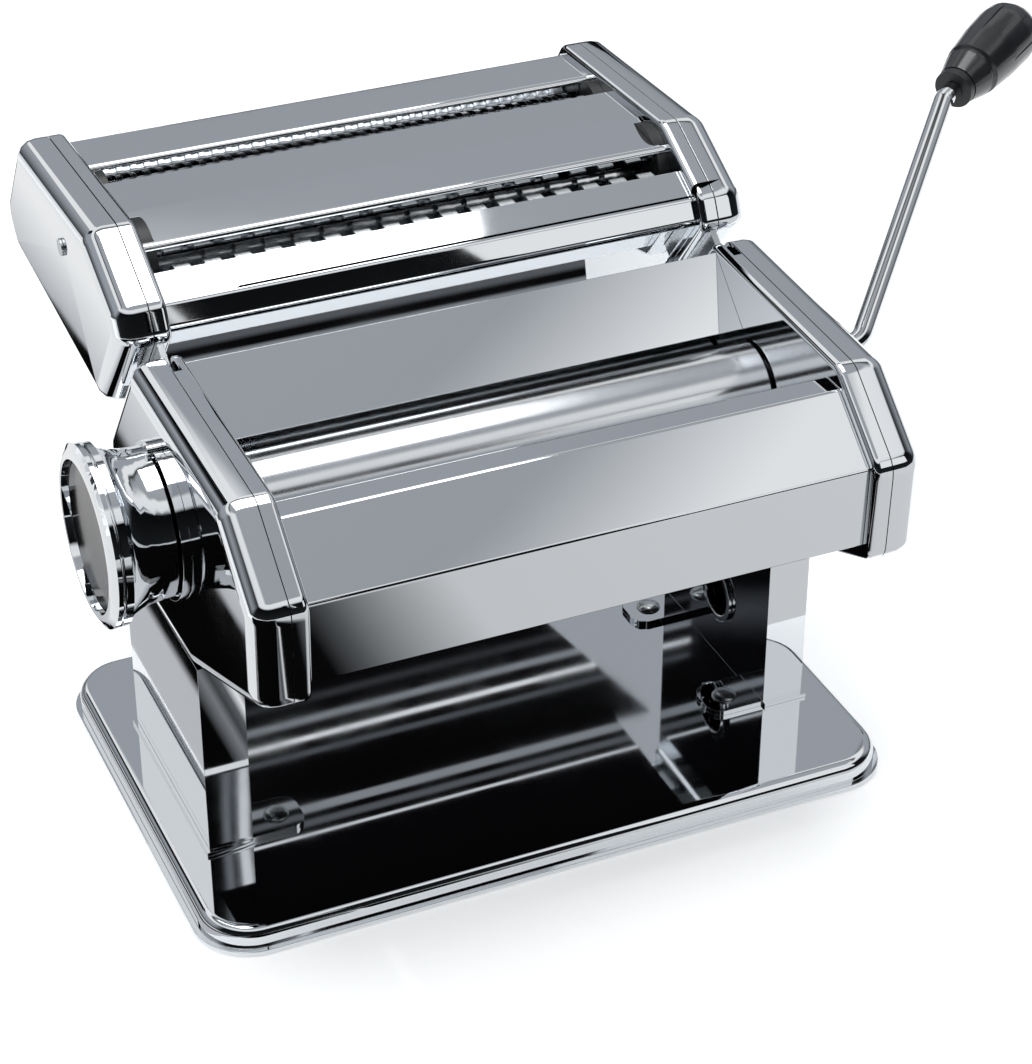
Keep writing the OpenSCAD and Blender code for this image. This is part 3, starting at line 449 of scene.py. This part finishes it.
@dataclass
class ThicknessKnob:
    """The thickness knob, its end disc, nut, spring and the index plate behind it."""

    def build(self, shop: Workshop) -> None:
        """Dresses the knob.

        Args:
            shop: Where the pieces are made.
        """
        shop.dress("thickness_knob", MIRROR_SHEET, Edge.CRISP)
        shop.dress("index_plate", MIRROR_SHEET, Edge.CRISP)
        shop.dress("knob_disc", BLACK_ENAMEL, Edge.CRISP)
        shop.paint(("selector_nut", "knob_spring"), PLATED_STEEL)


@dataclass
class Crank:
    """The bent crank rod with its turning grip."""

    def build(self, shop: Workshop) -> None:
        """Dresses the rod, the grip and the collar.

        Args:
            shop: Where the pieces are made.
        """
        shop.dress("crank_rod", CHROME_ROD, Edge.CRISP, ROD_SHARP_DEG)
        shop.dress("crank_grip", GLOSS_ABS, Edge.CRISP)
        shop.dress("grip_collar", BLACK_NYLON, Edge.CRISP)


@dataclass
class CutterUnit:
    """The lift-off noodle cutter unit."""

    shells: tuple[str, ...] = ("cutter_left_plate", "cutter_right_plate", "cutter_left_cover", "cutter_right_cover")
    panels: tuple[str, ...] = ("cutter_rear_panel", "cutter_middle_plate", "cutter_front_plate")

    def build(self, shop: Workshop) -> None:
        """Dresses the cutter unit.

        Args:
            shop: Where the pieces are made.
        """
        for node in self.shells:
            shop.dress(node, MIRROR_SHEET, Edge.CRISP)
        for node in self.panels:
            shop.dress(node, MIRROR_SHEET, Edge.SHEET)
        for node in ("wide_comb", "narrow_comb", "cutter_rails", "cutter_screws", "cutter_strippers"):
            shop.dress(node, PLATED_STEEL, Edge.CRISP)
        shop.dress("cutter_tie_rods", CHROME_ROD, Edge.NONE)
        shop.dress("cutter_cheeks", BLACK_NYLON, Edge.CRISP)
        for kind in ("wide", "narrow"):
            for mate in ("a", "b"):
                shop.dress(f"{kind}_cutter_{mate}", GROUND_ROLLER, Edge.CRISP)
                shop.dress(f"{kind}_gear_{mate}", MILLED_STEEL, Edge.NONE)


# ---- Studio ----


@dataclass(frozen=True)
class Board:
    """A flat glowing board that only mirrored rays see: its corners, and its greys along one axis, in metres. Most
    boards' greys are painted shade and painted reflections.

    A one-sided board shows toward -Y and is clear from behind.
    """

    name: str
    corners: tuple[tuple[float, float, float], ...]
    along: str
    stops: tuple[tuple[float, str], ...]
    one_sided: bool = False


def floor_board(
    name: str, across: tuple[float, float], deep: tuple[float, float], stops: tuple[tuple[float, str], ...]
) -> Board:
    """Lays out a board just over the floor, with its greys along X, for painted shade beside the machine.

    Args:
        name: The board's name.
        across: Its left and right edge, in metres.
        deep: Its near and far edge, in metres.
        stops: Place along X, and the grey there.

    Returns:
        The board.
    """
    (left, right), (near, far), z = across, deep, 1 * MM
    return Board(name, ((left, near, z), (right, near, z), (right, far, z), (left, far, z)), "X", stops)


BOARDS = (
    # Painted shade on the floor before the machine, which the front faces mirror: black to the left, thin painted
    # reflection lines, black again, then grey to pale toward the right.
    floor_board(
        "painted_shade_front_floor",
        (-1.2, 1.2),
        (-1.6, -0.076),
        (
            (-0.30, "0A0A0B"), (-0.067, "060606"), (-0.064, "8C8E92"), (-0.0615, "6A6C6E"), (-0.0605, "060606"),
            (-0.0598, "606266"), (-0.0586, "606266"), (-0.0582, "FFFFFF"), (-0.055, "FFFFFF"), (-0.0545, "080808"),
            (-0.030, "0A0A0B"), (-0.020, "5A5C5E"), (0.020, "DADBDC"), (0.30, "E6E7E8"),
        ),
    ),
    # Painted shadow on the floor at the machine's left: a black strip close beside it between greys, which the lower
    # left cover and the knob mirror, white further out.
    floor_board(
        "painted_shadow_left_floor",
        (-0.60, -0.1022),
        (-0.10, 0.60),
        (
            (-0.60, "FFFFFF"), (-0.16, "FFFFFF"), (-0.139, "C0C2C6"), (-0.1375, "060606"), (-0.1135, "060606"),
            (-0.1125, "C6C7CB"), (-0.1022, "C6C7CB"),
        ),
    ),
    # Close under the head, between its side plates: what the pan mirrors nearest the front, a painted reflection of
    # the head's shaded underside, black with thin light streaks.
    Board(
        "painted_reflection_under_head",
        ((-0.072, -0.085, 0.068), (0.072, -0.085, 0.068), (0.072, 0.058, 0.068), (-0.072, 0.058, 0.068)),
        "Y",
        (
            (0.000, "060607"), (0.034, "08080A"), (0.0355, "0A0A0B"), (0.036, "DDE0E4"), (0.0368, "DDE0E4"),
            (0.0373, "0A0A0B"), (0.0395, "0A0A0B"), (0.041, "5C5F63"), (0.0425, "5C5F63"), (0.044, "0B0B0C"),
            (0.046, "0B0B0C"), (0.047, "8B8F94"), (0.050, "8B8F94"), (0.051, "0A0A0B"), (0.058, "060606"),
        ),
    ),
    # Behind the machine and low, so that only the pan mirrors it: a dark board with thin painted reflection streaks.
    Board(
        "painted_reflection_behind",
        ((-0.022, 0.20, 0.11), (0.094, 0.20, 0.11), (0.160, 0.20, 0.19), (-0.022, 0.20, 0.19)),
        "Z",
        (
            (0.110, "0C0C0E"), (0.140, "0A0A0B"), (0.1425, "3C3E41"), (0.145, "0A0A0B"), (0.150, "0A0A0B"),
            (0.1512, "8E9297"), (0.1530, "8E9297"), (0.1542, "0A0A0B"), (0.1590, "0A0A0B"), (0.1597, "F2F4F6"),
            (0.1612, "F2F4F6"), (0.1620, "0A0A0B"), (0.1655, "0A0A0B"), (0.1665, "55585C"), (0.1680, "55585C"),
            (0.1690, "080809"), (0.190, "060606"),
        ),
    ),
    # Between the head and the cutter unit: what the top of the front roller mirrors, painted shade of the gap, black
    # with a pale top edge.
    Board(
        "painted_shade_over_hopper",
        ((-0.055, 0.022, 0.146), (0.085, 0.022, 0.146), (0.085, 0.022, 0.1665), (-0.055, 0.022, 0.1665)),
        "Z",
        ((0.146, "060606"), (0.1625, "060606"), (0.1665, "DADCDE")),
        one_sided=True,
    ),
    # Behind and to the left: what the right leg's web mirrors by way of the pan, a painted reflection, grey fading to
    # dark with one grey streak.
    Board(
        "painted_reflection_web",
        ((-1.50, 2.10, 1.10), (-0.98, 2.34, 1.10), (-0.98, 2.34, 2.15), (-1.50, 2.10, 2.15)),
        "Z",
        (
            (1.10, "85898E"), (1.35, "3A3C3F"), (1.50, "0A0A0B"), (1.70, "08080A"), (1.74, "4A4C50"),
            (1.78, "08080A"), (2.15, "050505"),
        ),
    ),
    # Behind and to the left, closer to the middle: what the left leg's side mirrors by way of the pan
    Board(
        "board_left_white",
        ((-0.97, 2.35, 1.10), (-0.28, 2.60, 1.10), (-0.28, 2.60, 2.20), (-0.97, 2.35, 2.20)),
        "Z",
        ((1.10, "FFFFFF"),),
    ),
    # Before the machine: what the left leg's front mirrors by way of the pan, painted reflection lines: dark, greys, a
    # black seam line and a white strip.
    Board(
        "painted_reflection_left_leg_front",
        ((0.10, -0.80, 0.45), (0.1640, -0.80, 0.45), (0.1640, -0.80, 0.75), (0.10, -0.80, 0.75)),
        "X",
        (
            (0.10, "060606"), (0.140, "060606"), (0.1455, "8C8E92"), (0.149, "6A6C6E"), (0.1505, "060606"),
            (0.1522, "606266"), (0.1555, "606266"), (0.1562, "FFFFFF"), (0.1640, "FFFFFF"),
        ),
    ),
    # Before the machine and to the right: what the right leg's front mirrors by way of the pan
    Board(
        "board_right_white",
        ((0.37, -0.84, 0.36), (0.80, -0.70, 0.36), (0.80, -0.70, 0.80), (0.37, -0.84, 0.80)),
        "Z",
        ((0.36, "FFFFFF"),),
    ),
)


@dataclass
class Studio:
    """The pale floor, the soft lamps, the tent, boards that the steel mirrors, most of them painted shade and painted
    reflections, and the camera.

    The bands are greys of the tent by height in degrees, on the side before the machine and the side behind it.
    """

    camera_at: tuple[float, float, float] = (-0.2604, -0.6191, 0.4997)
    yaw: float = 23.888
    pitch: float = -32.713
    roll: float = 0.104
    lens: float = 98.25
    floor_size: float = 8.0
    floor_glow: float = 0.25
    tent_r: float = 3.9
    tent_turn: tuple[float, float] = (-0.25, 0.15)
    world_strength: float = 0.8
    front_bands: tuple[tuple[float, str], ...] = (
        (0, "202224"), (38, "0C0D0E"), (43, "F4F6F8"), (56, "FFFFFF"), (60, "AAADB2"), (90, "B4B7BC"),
    )
    back_bands: tuple[tuple[float, str], ...] = (
        (0, "2C2E31"), (14, "8F9499"), (20, "A6AAB0"), (38, "A9ADB3"), (41, "FFFFFF"), (50, "FFFFFF"), (53, "1A1B1D"),
        (57, "A8ACB1"), (90, "B4B7BC"),
    )

    def build(self) -> None:
        """Makes the whole studio."""
        self.camera()
        self.floor()
        self.world()
        self.tent()
        self.hang_boards()
        self.lamps()
        bpy.context.scene.view_settings.view_transform = "Standard"

    def camera(self) -> None:
        """Puts the camera where the machine is seen from the front left and above."""
        data = bpy.data.cameras.new("camera")
        data.lens = self.lens
        data.sensor_width = FILM_MM
        data.sensor_fit = "AUTO"
        data.clip_start = 0.05
        eye = bpy.data.objects.new("camera", data)
        eye.matrix_world = (
            Matrix.Translation(self.camera_at)
            @ Matrix.Rotation(math.radians(-self.yaw), 4, "Z")
            @ Matrix.Rotation(math.radians(90 + self.pitch), 4, "X")
            @ Matrix.Rotation(math.radians(self.roll), 4, "Z")
        )
        bpy.context.scene.collection.objects.link(eye)
        bpy.context.scene.camera = eye

    def floor(self) -> None:
        """Lays the pale floor."""
        work = bmesh.new()
        bmesh.ops.create_grid(work, x_segments=1, y_segments=1, size=self.floor_size / 2)
        mesh = bpy.data.meshes.new("floor")
        work.to_mesh(mesh)
        work.free()
        paper = bpy.data.materials.new("floor_paper")
        paper.use_nodes = True
        shader = paper.node_tree.nodes["Principled BSDF"]
        shader.inputs["Base Color"].default_value = linear("F6F6F6")
        shader.inputs["Roughness"].default_value = 0.5
        shader.inputs["Emission Color"].default_value = linear(WHITE)
        shader.inputs["Emission Strength"].default_value = self.floor_glow
        mesh.materials.append(paper)
        ground = bpy.data.objects.new("floor", mesh)
        bpy.context.scene.collection.objects.link(ground)

    def reflected_only(self, shape: bpy.types.Object) -> None:
        """Keeps a shape out of every ray but a mirrored one, and links it to the scene.

        Args:
            shape: The object.
        """
        shape.visible_camera = False
        shape.visible_diffuse = False
        shape.visible_shadow = False
        shape.visible_volume_scatter = False
        bpy.context.scene.collection.objects.link(shape)

    def tent(self) -> None:
        """Domes a tent of banded grey cloth over the machine, which only mirrored rays see."""
        work = bmesh.new()
        bmesh.ops.create_uvsphere(work, u_segments=64, v_segments=32, radius=self.tent_r)
        bmesh.ops.bisect_plane(
            work,
            geom=work.verts[:] + work.edges[:] + work.faces[:],
            plane_co=(0, 0, 0),
            plane_no=(0, 0, 1),
            clear_inner=True,
        )
        mesh = bpy.data.meshes.new("tent")
        work.to_mesh(mesh)
        work.free()
        cloth = bpy.data.materials.new("tent_cloth")
        cloth.use_nodes = True
        tree = cloth.node_tree
        tree.nodes.clear()
        place = add_node(tree, "ShaderNodeTexCoord").outputs["Object"]
        part = add_node(tree, "ShaderNodeSeparateXYZ", {"Vector": place})
        height = add_node(tree, "ShaderNodeMath", {0: part.outputs["Z"]}, operation="DIVIDE", use_clamp=True)
        height.inputs[1].default_value = self.tent_r
        side = add_node(
            tree,
            "ShaderNodeMapRange",
            {"Value": part.outputs["Y"]},
            interpolation_type="SMOOTHSTEP",
            From_Min=self.tent_turn[0] * self.tent_r,
            From_Max=self.tent_turn[1] * self.tent_r,
        )
        front, back = (
            self.ramp(tree, height.outputs[0], [(math.sin(math.radians(up)), colour) for up, colour in bands])
            for bands in (self.front_bands, self.back_bands)
        )
        mix = add_node(
            tree,
            "ShaderNodeMix",
            {"Factor": side.outputs["Result"], 6: front, 7: back},
            data_type="RGBA",
        )
        glow = add_node(tree, "ShaderNodeEmission", {"Color": mix.outputs[2]}, Strength=1.0)
        add_node(tree, "ShaderNodeOutputMaterial", {"Surface": glow.outputs["Emission"]})
        mesh.materials.append(cloth)
        self.reflected_only(bpy.data.objects.new("tent", mesh))

    def ramp(
        self, tree: bpy.types.NodeTree, value: bpy.types.NodeSocket, stops: Sequence[tuple[float, str]]
    ) -> bpy.types.NodeSocket:
        """Makes a ramp of colours.

        Args:
            tree: The material's nodes.
            value: What runs along the ramp, from 0 to 1.
            stops: Place along the ramp, and the colour there.

        Returns:
            The colour that comes out.
        """
        made = add_node(tree, "ShaderNodeValToRGB", {"Fac": value})
        points = made.color_ramp.elements
        while len(points) < len(stops):
            points.new(0.5)
        for point, (at, colour) in zip(points, stops):
            point.position = at
            point.color = linear(colour)
        return made.outputs["Color"]

    def hang_boards(self) -> None:
        """Hangs and lays the boards, each in one plane and graded along one axis, most of them painted shade and
        painted reflections.
        """
        for board in BOARDS:
            work = bmesh.new()
            sheet = work.faces.new([work.verts.new(corner) for corner in board.corners])
            sheet.normal_update()
            middle = sheet.calc_center_median()
            if board.one_sided and sheet.normal.y > 0:
                sheet.normal_flip()
            mesh = bpy.data.meshes.new(board.name)
            work.to_mesh(mesh)
            work.free()
            paper = bpy.data.materials.new(f"{board.name}_paper")
            paper.use_nodes = True
            tree = paper.node_tree
            tree.nodes.clear()
            glow = add_node(tree, "ShaderNodeEmission", Color=linear(board.stops[0][1]), Strength=1.0)
            shown = glow.outputs["Emission"]
            if board.one_sided:
                clear = add_node(tree, "ShaderNodeBsdfTransparent").outputs["BSDF"]
                back = add_node(tree, "ShaderNodeNewGeometry").outputs["Backfacing"]
                shown = add_node(tree, "ShaderNodeMixShader", {0: back, 1: shown, 2: clear}).outputs["Shader"]
            add_node(tree, "ShaderNodeOutputMaterial", {"Surface": shown})
            if len(board.stops) > 1:
                place = add_node(tree, "ShaderNodeTexCoord").outputs["Object"]
                part = add_node(tree, "ShaderNodeSeparateXYZ", {"Vector": place})
                first, last = board.stops[0][0], board.stops[-1][0]
                run = add_node(
                    tree, "ShaderNodeMapRange", {"Value": part.outputs[board.along]}, From_Min=first, From_Max=last
                )
                stops = [((at - first) / (last - first), colour) for at, colour in board.stops]
                tree.links.new(self.ramp(tree, run.outputs["Result"], stops), glow.inputs["Color"])
            mesh.materials.append(paper)
            self.reflected_only(bpy.data.objects.new(board.name, mesh))

    def world(self) -> None:
        """Makes a pale room that is white to the camera and in reflections."""
        world = bpy.data.worlds.new("studio")
        bpy.context.scene.world = world
        world.use_nodes = True
        tree = world.node_tree
        back = tree.nodes["Background"]
        back.inputs["Color"].default_value = linear("E8ECF0")
        back.inputs["Strength"].default_value = self.world_strength
        bright = add_node(tree, "ShaderNodeBackground", Color=linear(WHITE), Strength=1.0)
        ray = add_node(tree, "ShaderNodeLightPath")
        seen = add_node(
            tree,
            "ShaderNodeMath",
            {0: ray.outputs["Is Camera Ray"], 1: ray.outputs["Is Glossy Ray"]},
            operation="MAXIMUM",
        )
        mix = add_node(
            tree,
            "ShaderNodeMixShader",
            {"Fac": seen.outputs[0], 1: back.outputs["Background"], 2: bright.outputs["Background"]},
        )
        tree.links.new(mix.outputs["Shader"], tree.nodes["World Output"].inputs["Surface"])

    def lamps(self) -> None:
        """Hangs the soft lamps. Only the top one shows in the steel."""
        for name, at, aim, size, watts in (
            ("lamp_top", (0.0, 0.2, 1.3), (0.0, 0.0, 0.05), 0.9, 9.0),
            ("lamp_left", (-1.2, -0.3, 0.8), (0.0, 0.0, 0.1), 0.8, 7.0),
        ):
            data = bpy.data.lights.new(name, "AREA")
            data.shape = "SQUARE"
            data.size = size
            data.energy = watts
            lamp = bpy.data.objects.new(name, data)
            lamp.location = at
            lamp.visible_glossy = name == "lamp_top"
            lamp.rotation_euler = (Vector(aim) - Vector(at)).to_track_quat("-Z", "Y").to_euler()
            bpy.context.scene.collection.objects.link(lamp)


def main() -> None:
    """Builds the machine around its frame and lights it."""
    logging.basicConfig(level=logging.INFO, format="%(name)s: %(message)s")
    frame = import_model()
    Studio().build()
    shop = Workshop(frame)
    for assembly in (BasePan(), Legs(), Head(), RollingGear(), ThicknessKnob(), Crank(), CutterUnit()):
        assembly.build(shop)
        LOG.info("built %s", type(assembly).__name__)


if __name__ == "__main__":
    main()
